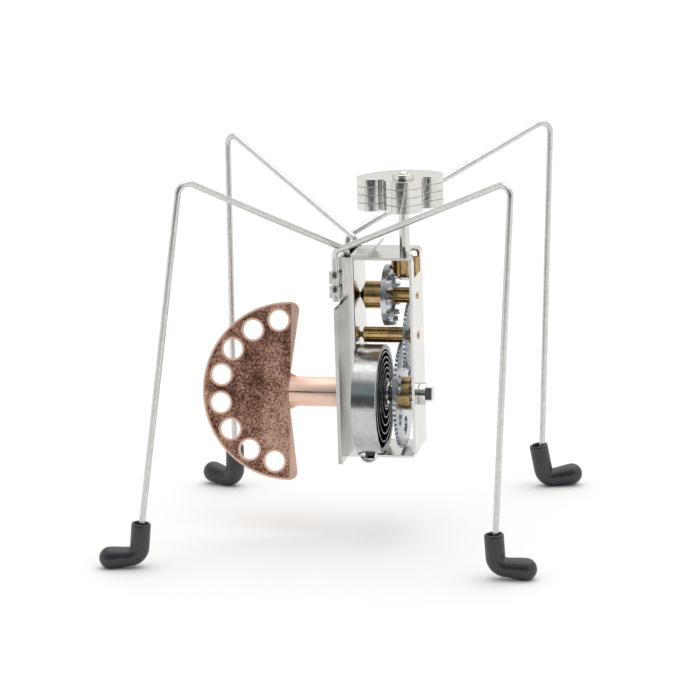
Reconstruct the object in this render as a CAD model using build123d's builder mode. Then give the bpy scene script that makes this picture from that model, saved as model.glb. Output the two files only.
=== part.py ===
"""A four-legged clockwork walker: open movement, winding key, spinning weight, wire legs in rubber boots.

Millimetres, +Z up. The feet stand on z = 0, the winding axis runs along X, and the key is on the left.
"""
import os
from math import atan, cos, hypot, pi, radians, sin

from build123d import *

os.makedirs("parts", exist_ok=True)

# ---------------------------------------------------------------- driving dimensions
FRAME_X, FRAME_Y = 9.62, -2.0   # middle of the movement
AXIS_Z = 27.6                   # winding axis above the floor
SHEET, BEND = 0.5, 1.0          # frame sheet: thickness, outside radius of its bends
FRAME_DEPTH = 12.2              # front to back
WALL_L = FRAME_X - 5.65         # inner face of the left wall
WALL_R = FRAME_X + 5.15         # inner face of the right wall
FRAME_TOP = AXIS_Z + 28.25
FRAME_BOTTOM = AXIS_Z - 11.35
RUNNING = 0.05                  # radial clearance of every turning fit

MODULE, CROWN_MODULE = 0.345, 0.6
MAIN_TEETH, SECOND_TEETH, CROWN_TEETH, LEAVES = 60, 38, 18, 8
MAIN_R = MODULE * MAIN_TEETH / 2
SECOND_R = MODULE * SECOND_TEETH / 2
PINION_R = MODULE * LEAVES / 2
CROWN_R = CROWN_MODULE * CROWN_TEETH / 2
UPRIGHT_R = CROWN_MODULE * LEAVES / 2
SECOND_Z = AXIS_Z + MAIN_R + PINION_R       # second arbor
CROWN_Z = SECOND_Z + SECOND_R + PINION_R    # crown arbor
SHAFT_X = FRAME_X + 3.35                    # upright shaft of the weight

ARBOR_D, PIVOT_D, SHAFT_D = 3.2, 1.4, 2.0
MAIN_X, MAIN_T = FRAME_X + 2.05, 0.6        # left face and thickness of the main wheel
SECOND_X, SECOND_T = FRAME_X + 3.65, 0.5
CROWN_X = SHAFT_X - UPRIGHT_R               # plane where the crown teeth roll on the upright pinion
CROWN_OUT, CROWN_IN = 5.95, 4.9             # outer and inner radius of the crown teeth
CROWN_REACH = 0.4                           # crown teeth past that plane
CROWN_BACK = CROWN_X - 1.55                 # back face of the crown wheel

SPRING_X, SPRING_WIDTH, SPRING_T, SPRING_R = FRAME_X - 5.55, 4.7, 0.16, 10.8
SPRING_LEAN, SPRING_SAG = 2.75, 0.55        # the outer coils stand this much forward of the axis, and below it
CORE_R = 2.2                                # sleeve that the spring winds on

KEY_X, KEY_R, KEY_T, KEY_TILT = FRAME_X - 20.3, 17.5, 0.45, -12
SHANK_R, SHANK_WALL = 2.9, 0.45

PLATE_X, PLATE_T = FRAME_X - 8.55, 0.7      # outer face and thickness of the leg plate
LIP_X = PLATE_X + PLATE_T                   # where the left wall's lips meet that plate
WIRE_D, WIRE_BEND = 1.2, 2.0

TAB_Z, TAB_T = AXIS_Z + 23.3, 0.5           # bearing tab under the upright pinion
WEIGHT_Z, WEIGHT_T, WEIGHT_GAP = AXIS_Z + 36.25, 1.54, 0.04


def save(piece, name):
    piece.part.label = name
    export_step(piece.part, f"parts/{name}.step")


def facing_x(x, z, y=FRAME_Y):
    """A plane across X at the given place; its local axes are world Y and Z."""
    return Plane(origin=(x, y, z), x_dir=(0, 1, 0), z_dir=(1, 0, 0))


def facing_z(z, x=SHAFT_X, y=FRAME_Y):
    return Plane(origin=(x, y, z), x_dir=(1, 0, 0), z_dir=(0, 0, 1))


def polar(radius, angle):
    return (radius * cos(angle), radius * sin(angle))


def wheel_outline(teeth, first):
    """Corners of a wheel with radial flanks and epicycloid tips, one tooth standing at the angle first."""
    pitch_r, roller, half = MODULE * teeth / 2, PINION_R / 2, 0.48 * pi / teeth
    flank = [(pitch_r - 0.8 * MODULE, half), (pitch_r, half)]
    for turn in (0.35, 0.65, 0.9):
        along, across = pitch_r + roller - roller * cos(turn), roller * sin(turn)
        flank.append((hypot(along, across), half - turn * roller / pitch_r + atan(across / along)))
    outline = []
    for tooth in range(teeth):
        middle = first + tooth * 2 * pi / teeth
        outline += [polar(r, middle - side) for r, side in flank]
        outline += [polar(r, middle + side) for r, side in reversed(flank)]
    return outline


def pinion_outline(module, first):
    """Corners of an eight-leaf pinion with radial flanks and round tips, one leaf at the angle first."""
    pitch_r, tip = module * LEAVES / 2, 0.5 * module
    root_r, root_half = pitch_r - 1.1 * module, 0.8 * tip / pitch_r
    outline = []
    for leaf in range(LEAVES):
        middle = first + leaf * 2 * pi / LEAVES
        outline.append(polar(root_r, middle - root_half))
        for step in range(7):
            along, across = pitch_r + tip * sin(pi * step / 6), -tip * cos(pi * step / 6)
            outline.append(polar(hypot(along, across), middle + atan(across / along)))
        outline.append(polar(root_r, middle + root_half))
    return outline


def disc(plane, radius, length, mode=Mode.ADD):
    """A round length in the part being built, from the plane along its normal."""
    with BuildSketch(plane) as section:
        Circle(radius)
    extrude(section.sketch, amount=length, mode=mode)


def bore(plane, radius, length):
    disc(plane, radius, length, Mode.SUBTRACT)


def slab(low, high, mode=Mode.ADD):
    """A box between two corners, in the part being built."""
    with Locations(tuple((a + b) / 2 for a, b in zip(low, high))):
        Box(*(b - a for a, b in zip(low, high)), mode=mode)


# ---------------------------------------------------------------- main frame
FRONT, BACK = FRAME_Y - FRAME_DEPTH / 2, FRAME_Y + FRAME_DEPTH / 2
OUTER_R = WALL_R + SHEET                    # outer face of the right wall
WINDOW_HALF = 3.25
BRIDGE_L, BRIDGE_R = FRAME_X - 5.3, FRAME_X - 2.2
BRIDGE_X, BRIDGE_DEPTH, BRIDGE_DROP, BRIDGE_T = (BRIDGE_L + BRIDGE_R) / 2, 2.5, 1.3, 0.35

with BuildPart() as main_frame:
    with BuildSketch(Plane.XZ.offset(-FRAME_Y)):
        with BuildLine():
            Polyline((WALL_L, FRAME_BOTTOM), (OUTER_R, FRAME_BOTTOM), (OUTER_R, FRAME_TOP),
                     (WALL_L, FRAME_TOP), close=True)
        make_face()
        fillet(vertices().group_by(Axis.X)[-1], BEND)
        with BuildLine():
            Polyline((WALL_L, FRAME_BOTTOM + SHEET), (WALL_R, FRAME_BOTTOM + SHEET),
                     (WALL_R, FRAME_TOP - SHEET), (WALL_L, FRAME_TOP - SHEET), close=True)
        make_face(mode=Mode.SUBTRACT)
    extrude(amount=FRAME_DEPTH / 2, both=True)
    fillet(main_frame.edges().filter_by(Axis.Y).filter_by_position(Axis.X, WALL_R - 0.01, WALL_R + 0.01),
           BEND - SHEET)

    # window in the right wall and round its top bend, and the tab that was pressed inward out of it
    slab((WALL_R - 0.9, FRAME_Y - WINDOW_HALF, TAB_Z + TAB_T),
         (OUTER_R + 1, FRAME_Y + WINDOW_HALF, FRAME_TOP + 1), Mode.SUBTRACT)
    with BuildSketch(facing_z(TAB_Z)):
        with BuildLine():
            Polyline((WALL_R + 0.1 - SHAFT_X, -3.1), (WALL_R + 0.1 - SHAFT_X, 3.1), (-0.3, 3.1), (-1.2, 1.7),
                     (-2.0, 1.7), (-2.0, -1.7), (-1.2, -1.7), (-0.3, -3.1), close=True)
        make_face()
    extrude(amount=TAB_T)

    # bridge under the bottom strip, where the spring's tail passes through
    slab((BRIDGE_L, FRONT - 1, FRAME_BOTTOM - 1), (BRIDGE_R, FRONT + 4.6, FRAME_BOTTOM + 1), Mode.SUBTRACT)
    with BuildSketch(Plane.XZ.offset(-FRONT)):
        with BuildLine():
            Polyline((BRIDGE_L, FRAME_BOTTOM + 0.2), (BRIDGE_L, FRAME_BOTTOM + SHEET),
                     (BRIDGE_L - 0.2, FRAME_BOTTOM + SHEET), (BRIDGE_L - 0.2, FRAME_BOTTOM))
            ThreePointArc((BRIDGE_L - 0.2, FRAME_BOTTOM), (BRIDGE_X, FRAME_BOTTOM - BRIDGE_DROP),
                          (BRIDGE_R + 0.2, FRAME_BOTTOM))
            Polyline((BRIDGE_R + 0.2, FRAME_BOTTOM), (BRIDGE_R + 0.2, FRAME_BOTTOM + SHEET),
                     (BRIDGE_R, FRAME_BOTTOM + SHEET), (BRIDGE_R, FRAME_BOTTOM + 0.2))
            ThreePointArc((BRIDGE_R, FRAME_BOTTOM + 0.2), (BRIDGE_X, FRAME_BOTTOM - BRIDGE_DROP + BRIDGE_T),
                          (BRIDGE_L, FRAME_BOTTOM + 0.2))
        make_face()
    extrude(amount=-BRIDGE_DEPTH)

    bore(facing_z(FRAME_TOP - SHEET - 0.1), SHAFT_D / 2 + RUNNING, SHEET + 0.2)
    bore(facing_z(TAB_Z - 0.1), PIVOT_D / 2 + RUNNING, TAB_T + 0.2)
    bore(facing_x(WALL_R - 0.1, AXIS_Z), ARBOR_D / 2 + RUNNING, SHEET + 0.2)
    for z in (SECOND_Z, CROWN_Z):
        bore(facing_x(WALL_R - 0.1, z), PIVOT_D / 2 + RUNNING, SHEET + 0.2)
save(main_frame, "main_frame")

# ---------------------------------------------------------------- left wall, with its lips and locking tab
WALL_T = 0.55
LOCK_WIDTH, LOCK_FLAT, LOCK_RISE = 8.0, 2.9, 1.8

with BuildPart() as left_wall:
    slab((WALL_L - WALL_T, FRONT, FRAME_BOTTOM), (WALL_L, BACK, FRAME_TOP))
    for low, high in ((FRONT, FRONT + WALL_T), (BACK - WALL_T, BACK)):
        slab((LIP_X, low, FRAME_BOTTOM), (WALL_L, high, FRAME_TOP))
    fillet(left_wall.edges().filter_by(Axis.Z).filter_by_position(Axis.X, WALL_L - 0.01, WALL_L + 0.01), 0.4)
    with BuildSketch(Plane.XZ.offset(-FRONT)):
        with BuildLine():
            Polyline((WALL_L - WALL_T, FRAME_TOP - 0.1), (WALL_L - WALL_T, FRAME_TOP + SHEET),
                     (WALL_L + LOCK_FLAT - 0.2, FRAME_TOP + SHEET),
                     (WALL_L + LOCK_FLAT - 0.35 + LOCK_RISE, FRAME_TOP + SHEET + LOCK_RISE),
                     (WALL_L + LOCK_FLAT + LOCK_RISE, FRAME_TOP + SHEET + LOCK_RISE - 0.35),
                     (WALL_L + LOCK_FLAT, FRAME_TOP), (WALL_L, FRAME_TOP), (WALL_L, FRAME_TOP - 0.1),
                     close=True)
        make_face()
    extrude(amount=-LOCK_WIDTH)
    slab((WALL_L - 0.1, FRONT + 1.9, FRAME_TOP - 1), (WALL_L + 1.8, FRONT + 2.15, FRAME_TOP + 1),
         Mode.SUBTRACT)
    bore(facing_x(WALL_L - WALL_T - 0.1, AXIS_Z), ARBOR_D / 2 + RUNNING, WALL_T + 0.2)
    for z in (SECOND_Z, CROWN_Z):
        bore(facing_x(WALL_L - WALL_T - 0.1, z), 0.5 + RUNNING, WALL_T + 0.2)
save(left_wall, "left_wall")

# ---------------------------------------------------------------- leg plate with its four wire crimps
PLATE_HALF, PLATE_TOP = 12.0, AXIS_Z + 19.3     # its wide lower part
CRIMP_X, CRIMP_Y = PLATE_X - WIRE_D / 2 - 0.03, FRAME_DEPTH / 2 + 0.45   # wires along the plate's edges
CRIMP_R, CRIMP_H = 1.2, 2.2
CRIMP_ROWS = (AXIS_Z + 20.5, AXIS_Z + 23.3)

with BuildPart() as leg_plate:
    with BuildSketch(facing_x(PLATE_X, 0)):
        with Locations((0, (FRAME_BOTTOM + PLATE_TOP) / 2)):
            Rectangle(2 * PLATE_HALF, PLATE_TOP - FRAME_BOTTOM + 0.2)
        with Locations((0, (FRAME_BOTTOM + FRAME_TOP) / 2)):
            Rectangle(FRAME_DEPTH, FRAME_TOP - FRAME_BOTTOM + 0.2)
        fillet(vertices().group_by(Axis.Y)[0], 0.6)
    extrude(amount=PLATE_T)
    for side in (-1, 1):
        for z in CRIMP_ROWS:
            disc(facing_z(z, CRIMP_X, FRAME_Y + side * CRIMP_Y), CRIMP_R, CRIMP_H)
    for side in (-1, 1):
        bore(facing_z(PLATE_TOP + 0.2, CRIMP_X, FRAME_Y + side * CRIMP_Y), WIRE_D / 2 + 0.02, 9)
    bore(facing_x(PLATE_X - 0.1, AXIS_Z), ARBOR_D / 2 + RUNNING, PLATE_T + 0.2)
save(leg_plate, "leg_plate")

# ---------------------------------------------------------------- mainspring
COILS = 10.5
PACKED, TIGHT = 4.0, 8.5                        # turns, counted inward, where the coils open out and close up
PACKED_PITCH, OPEN_PITCH = 0.26, 1.3
STRIP_STEPS = 26                                # points to a turn
RESTING = FRAME_BOTTOM + SHEET - AXIS_Z + 0.13  # lowest middle of the strip, where the outer coil lies on the frame


def spring_radius(turns):
    """Middle of the strip, turns counted inward: packed outside, open further in, tight on the core."""
    radius = SPRING_R - PACKED_PITCH * min(turns, PACKED) - OPEN_PITCH * min(max(turns - PACKED, 0), TIGHT - PACKED)
    if turns <= TIGHT:
        return radius
    return radius - (radius - CORE_R - 0.16) * ((turns - TIGHT) / (COILS - TIGHT)) ** 0.5


def spring_side(offset):
    """One face of the strip, from the outer end at the bottom to the inner end."""
    count = int(COILS * STRIP_STEPS)
    points = []
    for turns in (COILS * step / count for step in range(count + 1)):
        y, z = polar(spring_radius(turns) + offset, -pi / 2 + 2 * pi * turns)
        shift = max(0, min(1, (TIGHT - turns) / (TIGHT - PACKED)))
        lowest = RESTING + (PACKED_PITCH + 0.01) * turns - offset
        points.append((y - SPRING_LEAN * shift, max(z - SPRING_SAG * shift, lowest)))
    return points


with BuildPart() as mainspring:
    with BuildSketch(facing_x(SPRING_X, AXIS_Z)):
        with BuildLine():
            Polyline(*spring_side(SPRING_T / 2), *reversed(spring_side(-SPRING_T / 2)), close=True)
        make_face()
    extrude(amount=SPRING_WIDTH)
    tail_top, tail_low = AXIS_Z + RESTING + SPRING_T / 2, FRAME_BOTTOM - 0.22
    with BuildSketch(facing_x(BRIDGE_X - 1, 0)):
        with BuildLine():
            Polyline((-SPRING_LEAN + 0.05, tail_top), (-SPRING_LEAN - 0.6, tail_top), (-4.6, tail_low),
                     (-FRAME_DEPTH / 2, tail_low - 0.06), (-FRAME_DEPTH / 2, tail_low - 0.06 - SPRING_T),
                     (-4.7, tail_low - SPRING_T), (-SPRING_LEAN - 0.7, tail_top - SPRING_T),
                     (-SPRING_LEAN + 0.05, tail_top - SPRING_T), close=True)
        make_face()
    extrude(amount=2)
save(mainspring, "mainspring")

# ---------------------------------------------------------------- winding arbor, its sleeve and the click
COLLAR_X = OUTER_R + 0.1

with BuildPart() as winding_arbor:
    disc(facing_x(PLATE_X - 6.5, AXIS_Z), SHANK_R - SHANK_WALL, 6.2)
    disc(facing_x(PLATE_X - 0.3, AXIS_Z), ARBOR_D / 2, COLLAR_X - PLATE_X + 0.3)
    disc(facing_x(COLLAR_X, AXIS_Z), 2.15, 1.2)
    with BuildSketch(facing_x(COLLAR_X + 1.2, AXIS_Z).rotated((KEY_TILT, 0, 0))):
        Rectangle(2.9, 2.9)
        fillet(vertices(), 0.35)
    extrude(amount=1.4)
    chamfer(winding_arbor.edges().group_by(Axis.X)[-1], 0.2)
save(winding_arbor, "winding_arbor")

with BuildPart() as spring_core:
    disc(facing_x(SPRING_X - 0.05, AXIS_Z), CORE_R - 0.08, SPRING_WIDTH + 0.3)
    bore(facing_x(SPRING_X - 1, AXIS_Z), ARBOR_D / 2, SPRING_WIDTH + 3)
save(spring_core, "spring_core")

CLICK_ARMS, HOLE_RING, HOLE_R, HOLES = 3, 6.4, 1.85, 6

with BuildPart() as click_spring:
    disc(facing_x(MAIN_X - 1.3, AXIS_Z), 2.6, 0.45)
    with BuildSketch(facing_x(MAIN_X - 0.95, AXIS_Z)):
        Circle(3.0)
        with PolarLocations(0, CLICK_ARMS, start_angle=30):
            with Locations((HOLE_RING / 2, 0)):
                SlotOverall(HOLE_RING + 1.6, 1.6)
    extrude(amount=0.25)
    with BuildSketch(facing_x(MAIN_X - 0.95, AXIS_Z)):
        with PolarLocations(HOLE_RING, CLICK_ARMS, start_angle=30):
            Rectangle(0.3, 1.2)
    extrude(amount=0.85)
    bore(facing_x(MAIN_X - 2, AXIS_Z), ARBOR_D / 2, 3)
save(click_spring, "click_spring")

# ---------------------------------------------------------------- winding key: blade, ears and rolled shank
HOLE_SPREAD, KEY_HOLES, KEY_HOLE_R, KEY_HOLE_RING = 22.7, 8, 1.92, 14.1
SHANK_END = PLATE_X - 0.25

key_plane = Plane(origin=(KEY_X, FRAME_Y, AXIS_Z), x_dir=(1, 0, 0),
                  z_dir=(0, -cos(radians(KEY_TILT)), -sin(radians(KEY_TILT))))

with BuildPart() as winding_key:
    with BuildSketch(key_plane):
        with BuildLine():
            Polyline((0.1, 3.6), (1.9, KEY_R - 0.2), (0, KEY_R))
            ThreePointArc((0, KEY_R), (-KEY_R, 0), (0, -KEY_R))
            Polyline((0, -KEY_R), (1.9, 0.2 - KEY_R), (0.1, -3.6), close=False)
            Line((0.1, -3.6), (0.1, 3.6))
        make_face()
        fillet(vertices().filter_by_position(Axis.X, 1.5, 2.5), 1.6)
        with PolarLocations(KEY_HOLE_RING, KEY_HOLES, 99.5, HOLE_SPREAD * KEY_HOLES):
            Circle(KEY_HOLE_R, mode=Mode.SUBTRACT)
    extrude(amount=KEY_T / 2, both=True)
    with BuildSketch(key_plane):
        with BuildLine():
            Polyline((-0.6, -3.6), (0.1, -3.6), (1.5, -SHANK_R), (1.5, SHANK_R), (0.1, 3.6), (-0.6, 3.6),
                     close=True)
        make_face()
    extrude(amount=KEY_T / 2, both=True)
    disc(facing_x(KEY_X + 0.4, AXIS_Z), SHANK_R, SHANK_END - KEY_X - 0.4)
    bore(facing_x(KEY_X + 1.5, AXIS_Z), SHANK_R - SHANK_WALL, 20)
    with BuildSketch(key_plane.offset(SHANK_R - 2 * SHANK_WALL)):
        with Locations(((SHANK_END - KEY_X) / 2 + 1, 0)):
            Rectangle(SHANK_END - KEY_X + 1, 0.22)
    extrude(amount=3 * SHANK_WALL, mode=Mode.SUBTRACT)
save(winding_key, "winding_key")

# ---------------------------------------------------------------- wheels and arbors
UP, DOWN = pi / 2, -pi / 2
HALF_LEAF = pi / LEAVES
SHOULDER = 0.1                                  # end play between an arbor and the walls


def toothed(plane, outline, length):
    with BuildSketch(plane) as section:
        with BuildLine():
            Polyline(*outline, close=True)
        make_face()
    extrude(section.sketch, amount=length)


def cone(x, z, small, large, length):
    """A taper along X from the small to the large radius."""
    with BuildSketch(Plane.XZ.offset(-FRAME_Y)) as section:
        with BuildLine():
            Polyline((x, z), (x, z + small), (x + length, z + large), (x + length, z), close=True)
        make_face()
    revolve(section.sketch, axis=Axis((x, FRAME_Y, z), (1, 0, 0)))


with BuildPart() as main_wheel:
    toothed(facing_x(MAIN_X, AXIS_Z), wheel_outline(MAIN_TEETH, UP), MAIN_T)
    with BuildSketch(facing_x(MAIN_X, AXIS_Z)):
        with PolarLocations(HOLE_RING, HOLES, start_angle=30):
            Circle(HOLE_R)
        Circle(2.6)
    extrude(amount=MAIN_T, mode=Mode.SUBTRACT)
save(main_wheel, "main_wheel")

with BuildPart() as main_wheel_hub:
    disc(facing_x(MAIN_X, AXIS_Z), 2.6, MAIN_T)
    disc(facing_x(MAIN_X + MAIN_T, AXIS_Z), 3.25, 1.55)
    fillet(main_wheel_hub.edges().filter_by(GeomType.CIRCLE).group_by(Axis.X)[-1], 0.25)
    bore(facing_x(MAIN_X - 1, AXIS_Z), ARBOR_D / 2 + RUNNING, 4)
save(main_wheel_hub, "main_wheel_hub")

with BuildPart() as second_pinion:
    toothed(facing_x(WALL_L + 0.55, SECOND_Z), pinion_outline(MODULE, DOWN + HALF_LEAF),
            SECOND_X + SECOND_T + 0.3 - WALL_L - 0.55)
    cone(WALL_L + SHOULDER, SECOND_Z, 0.55, PINION_R - 0.35, 0.45)
    disc(facing_x(WALL_L - WALL_T - 0.1, SECOND_Z), 0.5, WALL_T + 0.3)
    disc(facing_x(SECOND_X + SECOND_T, SECOND_Z), 0.95, WALL_R - SHOULDER - SECOND_X - SECOND_T)
    disc(facing_x(WALL_R - SHOULDER, SECOND_Z), PIVOT_D / 2, SHEET + SHOULDER + 0.2)
save(second_pinion, "second_pinion")

with BuildPart() as second_wheel:
    toothed(facing_x(SECOND_X, SECOND_Z), wheel_outline(SECOND_TEETH, UP), SECOND_T)
    with BuildSketch(facing_x(SECOND_X, SECOND_Z)):
        with BuildLine():
            Polyline(*pinion_outline(MODULE, DOWN + HALF_LEAF), close=True)
        make_face()
    extrude(amount=SECOND_T, mode=Mode.SUBTRACT)
save(second_wheel, "second_wheel")

with BuildPart() as crown_bush:
    cone(WALL_L + SHOULDER, CROWN_Z, 0.55, 2.7, 1.1)
    disc(facing_x(WALL_L + SHOULDER + 1.1, CROWN_Z), 2.7, CROWN_BACK - WALL_L - SHOULDER - 1.1)
    disc(facing_x(WALL_L - WALL_T - 0.1, CROWN_Z), 0.5, WALL_T + 0.3)
    bore(facing_x(CROWN_BACK - 1.5, CROWN_Z), 1.0, 2)
save(crown_bush, "crown_bush")

with BuildPart() as crown_pinion:
    disc(facing_x(CROWN_BACK - 1.5, CROWN_Z), 1.0, 3.2)
    toothed(facing_x(CROWN_BACK + 1.6, CROWN_Z), pinion_outline(MODULE, DOWN + HALF_LEAF),
            SECOND_X + SECOND_T + 0.2 - CROWN_BACK - 1.6)
    disc(facing_x(SECOND_X + SECOND_T, CROWN_Z), 0.95, WALL_R - SHOULDER - SECOND_X - SECOND_T)
    disc(facing_x(WALL_R - SHOULDER, CROWN_Z), PIVOT_D / 2, SHEET + SHOULDER + 0.2)
save(crown_pinion, "crown_pinion")

CROWN_RIM = CROWN_X - 0.5                       # plane that the crown teeth stand on
TOOTH_ROOT, TOOTH_TIP = 0.9, 0.3                # width of a crown tooth
TOOTH_INSET = 0.06                              # how far its ends stand inside the rim's edges

with BuildPart() as crown_wheel:
    disc(facing_x(CROWN_BACK, CROWN_Z), CROWN_OUT, 0.6)
    disc(facing_x(CROWN_BACK, CROWN_Z), CROWN_OUT, CROWN_RIM - CROWN_BACK)
    bore(facing_x(CROWN_BACK + 0.6, CROWN_Z), CROWN_IN, 2)
    for tooth in range(CROWN_TEETH):
        outward = Vector(0, *polar(1, UP + 2 * pi * tooth / CROWN_TEETH))
        with BuildSketch(Plane(origin=Vector(0, FRAME_Y, CROWN_Z) + outward * (CROWN_IN + TOOTH_INSET),
                               x_dir=(1, 0, 0), z_dir=outward)):
            with BuildLine():
                Polyline((CROWN_RIM - 0.1, -TOOTH_ROOT / 2), (CROWN_RIM, -TOOTH_ROOT / 2),
                         (CROWN_X + CROWN_REACH, -TOOTH_TIP / 2), (CROWN_X + CROWN_REACH, TOOTH_TIP / 2),
                         (CROWN_RIM, TOOTH_ROOT / 2), (CROWN_RIM - 0.1, TOOTH_ROOT / 2), close=True)
            make_face()
        extrude(amount=CROWN_OUT - CROWN_IN - 2 * TOOTH_INSET)
    bore(facing_x(CROWN_BACK - 1, CROWN_Z), 1.0, 3)
save(crown_wheel, "crown_wheel")

# ---------------------------------------------------------------- upright shaft and the spinning weight
PINION_LOW, PINION_HIGH = TAB_Z + TAB_T + 0.2, FRAME_TOP - SHEET - 0.55
WEIGHT_R, LOBE_R, HUB_R = 9.75, 3.1, 3.75
LOBE_SPREAD, WEIGHT_TURN, PLATES = 53.5, 19, 4  # half the angle between its round ends; way that it faces
WEIGHT_TOP = WEIGHT_Z + PLATES * WEIGHT_T + (PLATES - 1) * WEIGHT_GAP

with BuildPart() as weight_shaft:
    disc(facing_z(TAB_Z - 0.15), PIVOT_D / 2, TAB_T + 0.25)
    disc(facing_z(TAB_Z + TAB_T + 0.1), SHAFT_D / 2, WEIGHT_TOP + 1.5 - TAB_Z - TAB_T - 0.1)
    chamfer(weight_shaft.edges().group_by(Axis.Z)[-1], 0.3)
save(weight_shaft, "weight_shaft")

with BuildPart() as weight_pinion:
    toothed(facing_z(PINION_LOW), pinion_outline(CROWN_MODULE, pi + HALF_LEAF), PINION_HIGH - PINION_LOW)
    bore(facing_z(PINION_LOW - 1), SHAFT_D / 2, 6)
save(weight_pinion, "weight_pinion")

for number in range(PLATES):
    with BuildPart() as weight_plate:
        level = facing_z(WEIGHT_Z + number * (WEIGHT_T + WEIGHT_GAP))
        with BuildSketch(level.rotated((0, 0, 90 + WEIGHT_TURN))):
            corners = [polar(WEIGHT_R, radians(turn)) for turn in (-LOBE_SPREAD, 0, LOBE_SPREAD)]
            with BuildLine():
                Line((0, 0), corners[0])
                ThreePointArc(*corners)
                Line(corners[2], (0, 0))
            make_face()
            with PolarLocations(WEIGHT_R - LOBE_R, 2, -LOBE_SPREAD, 4 * LOBE_SPREAD):
                Circle(LOBE_R)
            Circle(HUB_R)
            fillet(vertices().sort_by_distance((0, 0, 0))[:2], 0.4)
            Circle(SHAFT_D / 2, mode=Mode.SUBTRACT)
        extrude(amount=WEIGHT_T)
        rims = weight_plate.edges().group_by(Axis.Z)
        fillet([edge for edge in rims[0] + rims[-1] if abs(edge.length - pi * SHAFT_D) > 0.1], 0.1)
    save(weight_plate, f"weight_plate_{number + 1}")

with BuildPart() as weight_boss:
    disc(facing_z(WEIGHT_TOP), 2.1, 1.1)
    fillet(weight_boss.edges().filter_by(GeomType.CIRCLE).group_by(Axis.Z)[-1], 0.25)
    bore(facing_z(WEIGHT_TOP - 1), SHAFT_D / 2, 4)
save(weight_boss, "weight_boss")

# ---------------------------------------------------------------- leg wires and boots
BOOT_R, TOE_R, HEEL_BEND, FOOT_LENGTH = 1.88, 2.12, 2.05, 5.6
SEAM = 0.03                                     # the foot's taper starts this much inside its round ends
SHAFT_TOP, WIRE_END, SOLE_CUT = 8.8, 2.9, 0.12  # mouth and wire's end above the floor; depth of the worn sole
CHANNEL_X = (LIP_X + WALL_L - WALL_T) / 2       # between the left wall and the leg plate
CHANNEL_Y = 4.4

# the boot's mouth; the knee; where the wire turns down, its y from the frame's middle; its lower end
LEGS = {
    "front_left": ((-33.8, -31.8, SHAFT_TOP), (-24.0, -30.5, 75.3), (CHANNEL_X, -CHANNEL_Y, 56.9), 36.0),
    "rear_left": ((-28.7, 25.1, SHAFT_TOP), (-27.6, 24.7, 74.8), (CHANNEL_X, CHANNEL_Y, 57.2), 36.0),
    "front_right": ((34.4, -32.4, SHAFT_TOP), (38.4, -31.8, 75.6), (CRIMP_X, -CRIMP_Y, 57.1), 47.3),
    "rear_right": ((34.4, 31.0, SHAFT_TOP), (37.2, 30.5, 76.7), (CRIMP_X, CRIMP_Y, 57.4), 47.3),
}
# each boot's heading, the rise of its toe, and how far its shaft leans back from the toe, in degrees
BOOTS = {"front_left": (-172, -3, 6), "rear_left": (158, 10, 1), "front_right": (3, -5, 3), "rear_right": (16, 8, 10)}


def along_wire(foot, knee, z):
    """The point at height z on the line through the knee and the boot's mouth."""
    part_way = (z - foot[2]) / (knee[2] - foot[2])
    return Vector(*foot) + (Vector(*knee) - Vector(*foot)) * part_way


for name, (foot, knee, root, end) in LEGS.items():
    turned_down = (root[0], FRAME_Y + root[1])
    with BuildPart() as leg_wire:
        with BuildLine() as route:
            FilletPolyline(along_wire(foot, knee, WIRE_END), knee, (*turned_down, root[2]),
                           (*turned_down, end), radius=WIRE_BEND)
        with BuildSketch(Plane(origin=route.line @ 0, z_dir=route.line % 0)):
            Circle(WIRE_D / 2)
        sweep()
    save(leg_wire, f"leg_wire_{name}")

    heading, rise, lean = (radians(angle) for angle in BOOTS[name])
    toeward = Vector(*polar(1, heading), 0)
    footward = toeward * cos(rise) + Vector(0, 0, sin(rise))
    legward = Vector(0, 0, cos(lean)) - toeward * sin(lean)
    # height of the corner of its middle line that leaves the lowest of heel and toe on the floor
    heel_drop = BOOT_R + HEEL_BEND * (1 - cos(rise)) - HEEL_BEND * sin(rise)
    corner_z = max(heel_drop, TOE_R - FOOT_LENGTH * sin(rise)) - SOLE_CUT
    shaft = (SHAFT_TOP - corner_z) / cos(lean)
    corner = along_wire(foot, knee, (SHAFT_TOP + corner_z) / 2) - legward * shaft / 2
    toe = corner + footward * FOOT_LENGTH
    with BuildPart() as boot:
        with BuildLine() as bend:
            FilletPolyline(corner + legward * shaft, corner, toe, radius=HEEL_BEND)
        with BuildSketch(Plane(origin=bend.line @ 0, z_dir=bend.line % 0)):
            Circle(BOOT_R)
        sweep()
        with Locations(Plane(origin=toe, z_dir=footward).location):
            Sphere(TOE_R)
        with BuildSketch(Plane(origin=corner + footward * HEEL_BEND * 1.1, z_dir=footward)):
            Circle(BOOT_R + SEAM)
        with BuildSketch(Plane(origin=toe, z_dir=footward)):
            Circle(TOE_R - SEAM)
        loft()
        split(bisect_by=Plane.XY, keep=Keep.TOP)
        add(leg_wire.part, mode=Mode.SUBTRACT)
    save(boot, f"boot_{name}")
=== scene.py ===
"""Looks for the clockwork walker: its finishes, the coiled spring, the moulded boots and a plain studio.

Metres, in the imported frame's own axes: +X along the winding arbor, +Y to the rear legs, floor at z = 0.
"""
from math import cos, pi, radians, sin, tan

import bpy
from mathutils import Matrix, Vector


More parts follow.
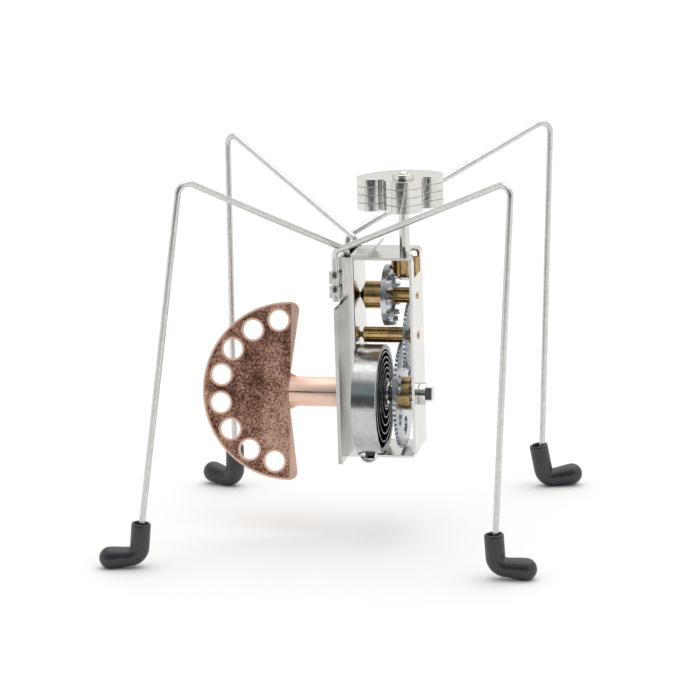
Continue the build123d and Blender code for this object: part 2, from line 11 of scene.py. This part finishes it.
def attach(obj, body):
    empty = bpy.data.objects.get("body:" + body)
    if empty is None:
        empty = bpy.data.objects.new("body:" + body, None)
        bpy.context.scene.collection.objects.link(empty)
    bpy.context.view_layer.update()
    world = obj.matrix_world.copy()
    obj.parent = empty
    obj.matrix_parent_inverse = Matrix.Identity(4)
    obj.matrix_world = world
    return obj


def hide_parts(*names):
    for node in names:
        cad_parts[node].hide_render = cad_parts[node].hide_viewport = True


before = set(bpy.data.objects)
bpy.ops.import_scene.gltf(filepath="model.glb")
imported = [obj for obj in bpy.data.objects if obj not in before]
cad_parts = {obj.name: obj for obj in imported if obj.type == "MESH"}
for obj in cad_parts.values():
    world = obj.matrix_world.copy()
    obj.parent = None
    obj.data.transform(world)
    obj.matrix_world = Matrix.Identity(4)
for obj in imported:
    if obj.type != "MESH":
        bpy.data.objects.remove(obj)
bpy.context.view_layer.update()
MM = 0.001

FRAME_X, FRAME_Y, AXIS_Z = 9.62, -2.0, 27.6     # middle of the movement, and the winding axis's height, in mm

# ---------------------------------------------------------------- camera and studio
AZIMUTH, ELEVATION, ROLL = radians(11.42), radians(13.60), radians(1.71)
DISTANCE, LENS, SENSOR = 0.6576, 173.4, 36.0
AIM = Vector((1.6, -2.0, 36.1)) * MM


def set_camera():
    back = Vector((sin(AZIMUTH) * cos(ELEVATION), -cos(AZIMUTH) * cos(ELEVATION), sin(ELEVATION)))
    level_right = Vector((cos(AZIMUTH), sin(AZIMUTH), 0))
    level_up = back.cross(level_right)
    right = level_right * cos(ROLL) - level_up * sin(ROLL)
    up = level_right * sin(ROLL) + level_up * cos(ROLL)
    data = bpy.data.cameras.new("camera")
    data.lens, data.sensor_width = LENS, SENSOR
    data.clip_start, data.clip_end = 0.01, 20
    camera = bpy.data.objects.new("camera", data)
    turned = Matrix((right, up, back)).transposed().to_4x4()
    camera.matrix_world = Matrix.Translation(AIM + back * DISTANCE) @ turned
    bpy.context.scene.collection.objects.link(camera)
    bpy.context.scene.camera = camera


def chain(tree, operation, *values):
    """A math node over sockets and numbers; returns its output."""
    node = tree.nodes.new("ShaderNodeMath")
    node.operation = operation
    for socket, value in zip(node.inputs, values):
        if isinstance(value, (int, float)):
            socket.default_value = value
        else:
            tree.links.new(value, socket)
    return node.outputs[0]


def set_world():
    """A bright room for light and reflections, dim on the camera's side; the view beyond the floor is white."""
    world = bpy.data.worlds.new("studio")
    bpy.context.scene.world = world
    world.use_nodes = True
    tree = world.node_tree
    tree.nodes.clear()
    split = tree.nodes.new("ShaderNodeSeparateXYZ")
    tree.links.new(tree.nodes.new("ShaderNodeTexCoord").outputs["Generated"], split.inputs[0])
    x, y, z = split.outputs
    squares = [chain(tree, "MULTIPLY", part, part) for part in (x, y)]
    level = chain(tree, "SQRT", chain(tree, "ADD", *squares))
    frontness = chain(tree, "DIVIDE", chain(tree, "MULTIPLY", y, -1.0), chain(tree, "MAXIMUM", level, 0.001))
    front = tree.nodes.new("ShaderNodeMapRange")
    front.interpolation_type = "SMOOTHSTEP"
    front.inputs["From Min"].default_value, front.inputs["From Max"].default_value = 0.66, 0.86
    tree.links.new(frontness, front.inputs["Value"])
    height = tree.nodes.new("ShaderNodeValToRGB")
    stops = height.color_ramp.elements
    stops[0].position, stops[0].color = 0.0, (0.075, 0.078, 0.085, 1)
    stops[1].position, stops[1].color = 1.0, (1.0, 1.0, 1.0, 1)
    for position, colour in DIM_SIDE:
        stops.new(position).color = (*colour, 1)
    tree.links.new(z, height.inputs["Fac"])
    mix = tree.nodes.new("ShaderNodeMix")
    mix.data_type = "RGBA"
    tree.links.new(front.outputs["Result"], mix.inputs["Factor"])
    mix.inputs[6].default_value = (*BRIGHT_SIDE, 1)
    tree.links.new(height.outputs["Color"], mix.inputs[7])
    room, beyond = tree.nodes.new("ShaderNodeBackground"), tree.nodes.new("ShaderNodeBackground")
    tree.links.new(mix.outputs[2], room.inputs["Color"])
    beyond.inputs["Color"].default_value = (1, 1, 1, 1)
    choice, out = tree.nodes.new("ShaderNodeMixShader"), tree.nodes.new("ShaderNodeOutputWorld")
    tree.links.new(tree.nodes.new("ShaderNodeLightPath").outputs["Is Camera Ray"], choice.inputs["Fac"])
    tree.links.new(room.outputs[0], choice.inputs[1])
    tree.links.new(beyond.outputs[0], choice.inputs[2])
    tree.links.new(choice.outputs[0], out.inputs["Surface"])


# the dim side from the horizon up: dark room, a lamp's edge, grey wall, then the ceiling diffuser
DIM_SIDE = ((0.36, (0.09, 0.095, 0.10)), (0.40, (0.42, 0.52, 0.53)), (0.45, (0.26, 0.30, 0.31)),
            (0.74, (0.30, 0.33, 0.34)), (0.80, (0.95, 0.95, 0.95)))
BRIGHT_SIDE = (0.90, 0.89, 0.875)
FLOOR_LEFT, FLOOR_RIGHT, FLOOR_FRONT, FLOOR_REAR = -1.5, 1.5, -0.30, 2.5


def set_floor():
    mesh = bpy.data.meshes.new("floor")
    mesh.from_pydata([(FLOOR_LEFT, FLOOR_FRONT, 0), (FLOOR_RIGHT, FLOOR_FRONT, 0),
                      (FLOOR_RIGHT, FLOOR_REAR, 0), (FLOOR_LEFT, FLOOR_REAR, 0)], [], [(0, 1, 2, 3)])
    floor = bpy.data.objects.new("floor", mesh)
    bpy.context.scene.collection.objects.link(floor)
    pale = bpy.data.materials.new("pale_floor")
    pale.use_nodes = True
    bsdf = pale.node_tree.nodes["Principled BSDF"]
    bsdf.inputs["Base Color"].default_value = (0.93, 0.93, 0.93, 1)
    bsdf.inputs["Roughness"].default_value = 0.7
    bsdf.inputs["Specular IOR Level"].default_value = 0.1
    mesh.materials.append(pale)


def set_diffuser():
    """Even light from above, as from a ceiling-sized diffuser."""
    data = bpy.data.lights.new("diffuser", "SUN")
    data.energy, data.angle = 1.05, radians(70)
    light = bpy.data.objects.new("diffuser", data)
    light.rotation_euler = (radians(-12), radians(8), 0)
    bpy.context.scene.collection.objects.link(light)


set_camera()
set_world()
set_floor()
set_diffuser()
bpy.context.scene.view_settings.view_transform = "Standard"


# ---------------------------------------------------------------- finishes
class Finish:
    """A procedural material, built up from layers of noise in object space."""

    def __init__(self, name, metallic, **constants):
        self.material = bpy.data.materials.new(name)
        self.material.use_nodes = True
        self.nodes, self.links = self.material.node_tree.nodes, self.material.node_tree.links
        self.shader = self.nodes["Principled BSDF"]
        self.shader.inputs["Metallic"].default_value = metallic
        for socket, value in constants.items():
            self.shader.inputs[socket.replace("_", " ")].default_value = value
        self.place = self.nodes.new("ShaderNodeTexCoord").outputs["Object"]
        self.last_bump = None

    def noise(self, size, stretch=(1, 1, 1), detail=3.0, roughness=0.55):
        """A noise whose features are about size metres, times stretch along each axis."""
        mapping = self.nodes.new("ShaderNodeMapping")
        mapping.inputs["Scale"].default_value = [1 / (size * s) for s in stretch]
        self.links.new(self.place, mapping.inputs["Vector"])
        texture = self.nodes.new("ShaderNodeTexNoise")
        texture.inputs["Scale"].default_value = 1.0
        texture.inputs["Detail"].default_value = detail
        texture.inputs["Roughness"].default_value = roughness
        self.links.new(mapping.outputs[0], texture.inputs["Vector"])
        return texture.outputs["Fac"]

    def rings(self, pitch, axis):
        """Fine turning lines, pitch metres apart along an axis."""
        texture = self.nodes.new("ShaderNodeTexWave")
        texture.bands_direction = axis
        texture.inputs["Scale"].default_value = 2 * pi / (20 * pitch)
        texture.inputs["Distortion"].default_value = 0.6
        texture.inputs["Detail Scale"].default_value = 300
        self.links.new(self.place, texture.inputs["Vector"])
        return texture.outputs["Fac"]

    def colour(self, source, *stops):
        ramp = self.nodes.new("ShaderNodeValToRGB")
        elements = ramp.color_ramp.elements
        while len(elements) < len(stops):
            elements.new(0.5)
        for element, (position, rgb) in zip(elements, stops):
            element.position, element.color = position, (*rgb, 1)
        self.links.new(source, ramp.inputs["Fac"])
        self.links.new(ramp.outputs["Color"], self.shader.inputs["Base Color"])

    def rough(self, source, low, high):
        spread = self.nodes.new("ShaderNodeMapRange")
        spread.inputs["From Min"].default_value, spread.inputs["From Max"].default_value = 0.3, 0.7
        spread.inputs["To Min"].default_value, spread.inputs["To Max"].default_value = low, high
        self.links.new(source, spread.inputs["Value"])
        self.links.new(spread.outputs["Result"], self.shader.inputs["Roughness"])

    def bump(self, source, height, strength=1.0):
        node = self.nodes.new("ShaderNodeBump")
        node.inputs["Distance"].default_value = height
        node.inputs["Strength"].default_value = strength
        self.links.new(source, node.inputs["Height"])
        if self.last_bump:
            self.links.new(self.last_bump, node.inputs["Normal"])
        self.last_bump = node.outputs["Normal"]
        self.links.new(self.last_bump, self.shader.inputs["Normal"])


def nickel_sheet():
    f = Finish("nickel_sheet", 1.0)
    f.colour(f.noise(4 * MM), (0.3, (0.62, 0.61, 0.59)), (0.7, (0.72, 0.71, 0.69)))
    streaks = f.noise(0.12 * MM, (1, 1, 40), detail=2)
    f.rough(streaks, 0.12, 0.24)
    f.bump(streaks, 0.0015 * MM)
    f.bump(f.noise(3.5 * MM, detail=1), 0.02 * MM, 0.5)
    return f.material


def shaded_nickel():
    """The leg plate: the same plating with painted shade, a little darker all over."""
    f = Finish("shaded_nickel", 1.0)
    streaks = f.noise(0.12 * MM, (1, 1, 40), detail=3)
    f.colour(f.noise(4 * MM, detail=3), (0.3, (0.47, 0.46, 0.45)), (0.7, (0.58, 0.57, 0.555)))
    f.rough(streaks, 0.14, 0.26)
    f.bump(streaks, 0.0015 * MM)
    return f.material


def bright_nickel():
    f = Finish("bright_nickel", 1.0)
    f.colour(f.noise(3 * MM), (0.3, (0.66, 0.645, 0.625)), (0.7, (0.74, 0.725, 0.705)))
    lines = f.noise(0.05 * MM, (30, 30, 1), detail=2)
    f.rough(f.noise(0.8 * MM), 0.07, 0.15)
    f.bump(lines, 0.001 * MM)
    return f.material


def zinc_steel():
    f = Finish("zinc_steel", 1.0)
    f.colour(f.noise(0.5 * MM, detail=5), (0.3, (0.47, 0.50, 0.545)), (0.55, (0.60, 0.63, 0.67)),
             (0.75, (0.72, 0.74, 0.76)))
    f.rough(f.noise(0.3 * MM), 0.2, 0.36)
    f.bump(f.noise(0.15 * MM, detail=4), 0.004 * MM)
    return f.material


def spring_steel():
    f = Finish("spring_steel", 1.0)
    f.colour(f.noise(2 * MM), (0.3, (0.46, 0.475, 0.48)), (0.7, (0.60, 0.605, 0.60)))
    streaks = f.noise(0.08 * MM, (1, 40, 40), detail=2)
    f.rough(streaks, 0.14, 0.26)
    f.bump(streaks, 0.001 * MM)
    return f.material


def turned_steel():
    f = Finish("turned_steel", 1.0)
    f.colour(f.noise(1.2 * MM), (0.3, (0.58, 0.57, 0.55)), (0.7, (0.72, 0.71, 0.69)))
    f.rough(f.noise(0.2 * MM), 0.16, 0.3)
    f.bump(f.rings(0.12 * MM, "X"), 0.003 * MM)
    return f.material


def brass(axis):
    f = Finish(f"brass_turned_{axis.lower()}", 1.0)
    f.colour(f.noise(1.5 * MM, detail=4), (0.3, (0.40, 0.275, 0.125)), (0.55, (0.56, 0.40, 0.19)),
             (0.75, (0.72, 0.54, 0.28)))
    f.rough(f.noise(0.25 * MM), 0.14, 0.28)
    f.bump(f.rings(0.1 * MM, axis), 0.002 * MM)
    return f.material


# the key's blade: place and tilt, its radius, and its holes
KEY_X, KEY_TILT, KEY_R = -10.68, radians(12), 17.5
HOLE_R, HOLE_RING, HOLE_SPREAD, FIRST_HOLE = 1.92, 14.1, radians(22.7), radians(80.5)
SHANK_X = -11.2                                 # the brighter plating begins here and is full 0.9 mm further on


def copper_plate():
    f = Finish("copper_plate", 1.0)
    grain, patches = f.noise(0.45 * MM, detail=5, roughness=0.85), f.noise(7 * MM, detail=2)
    split = f.nodes.new("ShaderNodeSeparateXYZ")
    f.links.new(f.place, split.inputs[0])

    def math(operation, *values):
        return chain(f.material.node_tree, operation, *values)

    def from_middle(axis, middle, scale):
        """Distance along an axis from a place in millimetres, times scale."""
        return math("MULTIPLY", math("ADD", split.outputs[axis], -middle * MM), scale / MM)

    def length(one, other):
        return math("POWER", math("ADD", math("MULTIPLY", one, one), math("MULTIPLY", other, other)), 0.5)

    mottled = math("ADD", grain, math("MULTIPLY", math("SUBTRACT", patches, 0.5), 0.45))
    shank = from_middle("X", SHANK_X, 0.9)
    # the rim and the holes' edges are found by polar place in the blade's own plane; there the copper is
    # painted lighter as a highlight
    out = from_middle("X", KEY_X, -1)
    up = math("ADD", from_middle("Y", FRAME_Y, sin(KEY_TILT)), from_middle("Z", AXIS_Z, cos(KEY_TILT)))
    radius = length(out, up)
    turn = math("ADD", math("ARCTAN2", up, out), -FIRST_HOLE)
    nearest = math("WRAP", turn, HOLE_SPREAD / 2, -HOLE_SPREAD / 2)
    across = math("MULTIPLY", math("SINE", nearest), radius)
    along = math("ADD", math("MULTIPLY", math("COSINE", nearest), radius), -HOLE_RING)
    rim = math("MAXIMUM", math("ADD", radius, -KEY_R), math("SUBTRACT", HOLE_R, length(across, along)))
    # painted highlight: the copper is made lighter near the rim and round the holes
    edge_highlight = math("ADD", math("MULTIPLY", rim, 1.5), 1.2)
    # worn mixes the real mottling and the shank's brighter plating with the painted highlight on the rim and
    # the holes' edges
    worn = math("MAXIMUM", mottled, math("MINIMUM", math("MAXIMUM", shank, edge_highlight), 0.9))
    f.colour(worn, (0.40, (0.13, 0.055, 0.037)), (0.5, (0.42, 0.21, 0.145)), (0.60, (0.88, 0.56, 0.43)),
             (0.88, (0.95, 0.69, 0.57)))
    f.rough(math("MAXIMUM", mottled, edge_highlight), 0.34, 0.62)
    f.bump(grain, 0.035 * MM)
    f.bump(f.noise(2.5 * MM, detail=1), 0.02 * MM, 0.6)
    return f.material


def spring_wire():
    f = Finish("spring_wire", 1.0)
    f.colour(f.noise(0.7 * MM, detail=4), (0.3, (0.56, 0.555, 0.545)), (0.7, (0.72, 0.715, 0.70)))
    f.rough(f.noise(0.15 * MM), 0.22, 0.36)
    f.bump(f.noise(0.08 * MM, (1, 1, 12)), 0.002 * MM)
    return f.material


def rubber():
    f = Finish("rubber", 0.0, Specular_IOR_Level=0.62)
    f.colour(f.noise(1.2 * MM, detail=4), (0.3, (0.015, 0.0145, 0.020)), (0.7, (0.026, 0.025, 0.034)))
    f.rough(f.noise(0.4 * MM, detail=4), 0.24, 0.38)
    f.bump(f.noise(0.12 * MM, detail=3), 0.006 * MM)
    f.bump(f.noise(1.6 * MM, detail=1), 0.05 * MM, 0.5)
    return f.material


brass_x, brass_z, zinc, steel = brass("X"), brass("Z"), zinc_steel(), turned_steel()
sheet, nickel, strip_finish = nickel_sheet(), bright_nickel(), spring_steel()
wire, boot_rubber = spring_wire(), rubber()
# the leg plate gets a darker copy of the sheet plating, as painted shade
FINISHES = {
    "main_frame": sheet, "left_wall": sheet, "leg_plate": shaded_nickel(), "winding_arbor": nickel,
    "spring_core": steel, "click_spring": strip_finish, "winding_key": copper_plate(), "main_wheel": zinc,
    "second_wheel": zinc, "crown_wheel": zinc,
    "main_wheel_hub": brass_x, "second_pinion": brass_x, "crown_bush": brass_x, "crown_pinion": brass_x,
    "weight_shaft": nickel, "weight_pinion": brass_z, "weight_boss": nickel,
}
LEGS = [f"{end}_{side}" for end in ("front", "rear") for side in ("left", "right")]
FINISHES.update({f"weight_plate_{n}": nickel for n in range(1, 5)})
FINISHES.update({f"leg_wire_{leg}": wire for leg in LEGS})
for node, finish in FINISHES.items():
    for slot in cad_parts[node].material_slots:
        slot.material = finish


# edges of the pressed sheet pieces are slightly eased
EASED = {"winding_key": 0.09, "main_frame": 0.06, "left_wall": 0.06, "leg_plate": 0.06}
for node, width in EASED.items():
    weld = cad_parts[node].modifiers.new("weld", "WELD")
    weld.merge_threshold = 0.0005 * MM
    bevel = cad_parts[node].modifiers.new("bevel", "BEVEL")
    bevel.width, bevel.segments, bevel.limit_method, bevel.angle_limit = width * MM, 2, "ANGLE", radians(40)
    bevel.use_clamp_overlap, bevel.harden_normals = True, True


# ---------------------------------------------------------------- new pieces, in millimetres
def add_piece(name, shells, finish, stands_for, sharp=35):
    """A smooth-shaded piece of closed shells, each (corners, faces), replacing a CAD node on the frame."""
    corners, faces = [], []
    for shell_corners, shell_faces in shells:
        faces += [tuple(len(corners) + i for i in face) for face in shell_faces]
        corners += [Vector(c) * MM for c in shell_corners]
    mesh = bpy.data.meshes.new(name)
    mesh.from_pydata(corners, [], faces)
    mesh.validate()
    mesh.polygons.foreach_set("use_smooth", [True] * len(mesh.polygons))
    mesh.set_sharp_from_angle(angle=radians(sharp))
    mesh.materials.append(finish)
    piece = bpy.data.objects.new(name, mesh)
    bpy.context.scene.collection.objects.link(piece)
    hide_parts(stands_for)
    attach(piece, "frame")
    return piece


def tube(sections):
    """A closed shell through rings of corners, all with the same count, capped at both ends."""
    count = len(sections[0])
    corners = [corner for section in sections for corner in section]
    faces = [tuple(reversed(range(count))), tuple(range(len(corners) - count, len(corners)))]
    for ring in range(len(sections) - 1):
        for i in range(count):
            a, b = ring * count + i, ring * count + (i + 1) % count
            faces.append((a, b, b + count, a + count))
    return corners, faces


FRAME_BOTTOM, SHEET = 16.25, 0.5
SPRING_X, SPRING_WIDTH, SPRING_T, SPRING_R, CORE_R = FRAME_X - 5.55, 4.7, 0.16, 10.8, 2.2
SPRING_LEAN, SPRING_SAG, COILS, PACKED, TIGHT = 2.75, 0.55, 10.5, 4.0, 8.5
PACKED_PITCH, OPEN_PITCH, RESTING = 0.26, 1.3, FRAME_BOTTOM + SHEET + 0.13
STEPS = 96                                      # stations to a turn of the spring


def spring_middle(turns):
    """(y, z) of the strip's middle, turns counted inward from its outer end at the bottom."""
    opened = min(max(turns - PACKED, 0), TIGHT - PACKED)
    radius = SPRING_R - PACKED_PITCH * min(turns, PACKED) - OPEN_PITCH * opened
    if turns > TIGHT:
        radius -= (radius - CORE_R - SPRING_T) * ((turns - TIGHT) / (COILS - TIGHT)) ** 0.5
    shift = max(0, min(1, (TIGHT - turns) / (TIGHT - PACKED)))
    angle = 2 * pi * turns - pi / 2
    return (FRAME_Y - SPRING_LEAN * shift + radius * cos(angle),
            max(AXIS_Z - SPRING_SAG * shift + radius * sin(angle), RESTING + (PACKED_PITCH + 0.01) * turns))


def strip(middles, x_low, x_high):
    """Spring strip on edge along (y, z) points, its long edges eased."""
    half, ease = SPRING_T / 2, 0.035
    outline = [(x_low + ease, -half), (x_high - ease, -half), (x_high, ease - half), (x_high, half - ease),
               (x_high - ease, half), (x_low + ease, half), (x_low, half - ease), (x_low, ease - half)]
    sections = []
    for i, (y, z) in enumerate(middles):
        before, after = middles[max(i - 1, 0)], middles[min(i + 1, len(middles) - 1)]
        along = Vector((after[0] - before[0], after[1] - before[1])).normalized()
        sections.append([(x, y - along.y * out, z + along.x * out) for x, out in outline])
    return tube(sections)


def eased(points, reach=0.35):
    """The (y, z) points with each inner corner cut back to a short curve."""
    result = [points[0]]
    for before, corner, after in zip(points, points[1:], points[2:]):
        corner = Vector(corner)
        start = corner + (Vector(before) - corner).normalized() * reach
        end = corner + (Vector(after) - corner).normalized() * reach
        result += [tuple(start.lerp(corner, t).lerp(corner.lerp(end, t), t))
                   for t in (0, 0.25, 0.5, 0.75, 1)]
    return result + [points[-1]]


tail_middle = FRAME_BOTTOM - 0.30
stations = int(COILS * STEPS)
coil = strip([spring_middle(COILS * i / stations) for i in range(stations + 1)],
             SPRING_X, SPRING_X + SPRING_WIDTH)
tail = strip(eased([(FRAME_Y - SPRING_LEAN + 0.05, RESTING), (FRAME_Y - SPRING_LEAN - 0.65, RESTING),
                    (FRAME_Y - 4.65, tail_middle), (FRAME_Y - 6.1, tail_middle - 0.06)]),
             FRAME_X - 4.75, FRAME_X - 2.75)
add_piece("mainspring_strip", (coil, tail), strip_finish, "mainspring")

# place of each boot's mouth; lean of the wire into it, as x and y to each mm of height;
# heading, rise of the toe and lean of the shaft, in degrees
BOOTS = {
    "front_left": ((-33.8, -31.8), (0.1474, 0.0195), -172, -3, 6),
    "rear_left": ((-28.7, 25.1), (0.0167, -0.0061), 158, 10, 1),
    "front_right": ((34.4, -32.4), (0.0599, 0.0090), 3, -5, 3),
    "rear_right": ((34.4, 31.0), (0.0412, -0.0074), 16, 8, 10),
}
BOOT_R, TOE_R, HEEL_BEND, FOOT_LENGTH, MOUTH_Z, SOLE_CUT = 1.88, 2.118, 2.05, 5.6, 8.8, 0.12
# depth below the mouth and radius, from the closed bottom of the hollow up, over the rim and down outside
MOUTH = ((3.0, 0.1), (2.95, 0.8), (2.7, 1.15), (2.2, 1.27), (0.5, 1.33), (0.15, 1.37), (0.03, 1.46),
         (0.0, 1.6), (0.05, 1.74), (0.18, 1.84), (0.5, BOOT_R))
BOOT_SIDES = 48                                 # corners round each ring of a boot


def boot(mouth_xy, wire_lean, heading, rise, lean):
    """A moulded boot: hollow at the mouth, bent at the heel, with a round toe and a flat worn on its sole."""
    heading, rise, lean = radians(heading), radians(rise), radians(lean)
    toeward, up = Vector((cos(heading), sin(heading), 0)), Vector((0, 0, 1))
    footward, legward = toeward * cos(rise) + up * sin(rise), up * cos(lean) - toeward * sin(lean)
    drop = BOOT_R + HEEL_BEND * (1 - cos(rise)) - HEEL_BEND * sin(rise)
    corner_z = max(drop, TOE_R - FOOT_LENGTH * sin(rise)) - SOLE_CUT
    shaft = (MOUTH_Z - corner_z) / cos(lean)
    half_way = (corner_z - MOUTH_Z) / 2
    middle = Vector((mouth_xy[0] + wire_lean[0] * half_way, mouth_xy[1] + wire_lean[1] * half_way,
                     MOUTH_Z + half_way))
    corner = middle - legward * shaft / 2
    sideward = footward.cross(legward).normalized()
    turn = pi - footward.angle(legward)
    reach = HEEL_BEND * tan(turn / 2)
    bend_start, inward = corner + legward * reach, legward.cross(sideward) * -1
    if inward.dot(footward) < 0:
        inward = -inward
    centre = bend_start + inward * HEEL_BEND
    stations = [(corner + legward * (shaft - depth), legward, radius) for depth, radius in MOUTH]
    stations += [(corner + legward * (shaft - 0.5 + (reach - shaft + 0.5) * t), legward, BOOT_R)
                 for t in (0.35, 0.7)]
    for step in range(13):
        angle = turn * step / 12
        stations.append((centre + (-inward * cos(angle) - legward * sin(angle)) * HEEL_BEND,
                         legward * cos(angle) - inward * sin(angle), BOOT_R))
    for step in range(1, 9):
        part = step / 8
        stations.append((corner + footward * (reach + (FOOT_LENGTH - reach) * part), -footward,
                         BOOT_R + (TOE_R - BOOT_R) * part * part * (3 - 2 * part)))
    for step in range(1, 12):
        angle = step * pi / 24
        stations.append((corner + footward * (FOOT_LENGTH + TOE_R * sin(angle)), -footward, TOE_R * cos(angle)))
    sections = []
    for place, axis, radius in stations:
        across = sideward.cross(axis)
        turns = [2 * pi * i / BOOT_SIDES for i in range(BOOT_SIDES)]
        ring = [place + (sideward * cos(turn) + across * sin(turn)) * radius for turn in turns]
        sections.append([(c.x, c.y, max(c.z, 0)) for c in ring])
    return tube(sections)


for leg, shape in BOOTS.items():
    piece = add_piece(f"moulded_boot_{leg}", [boot(*shape)], boot_rubber, f"boot_{leg}", 60)
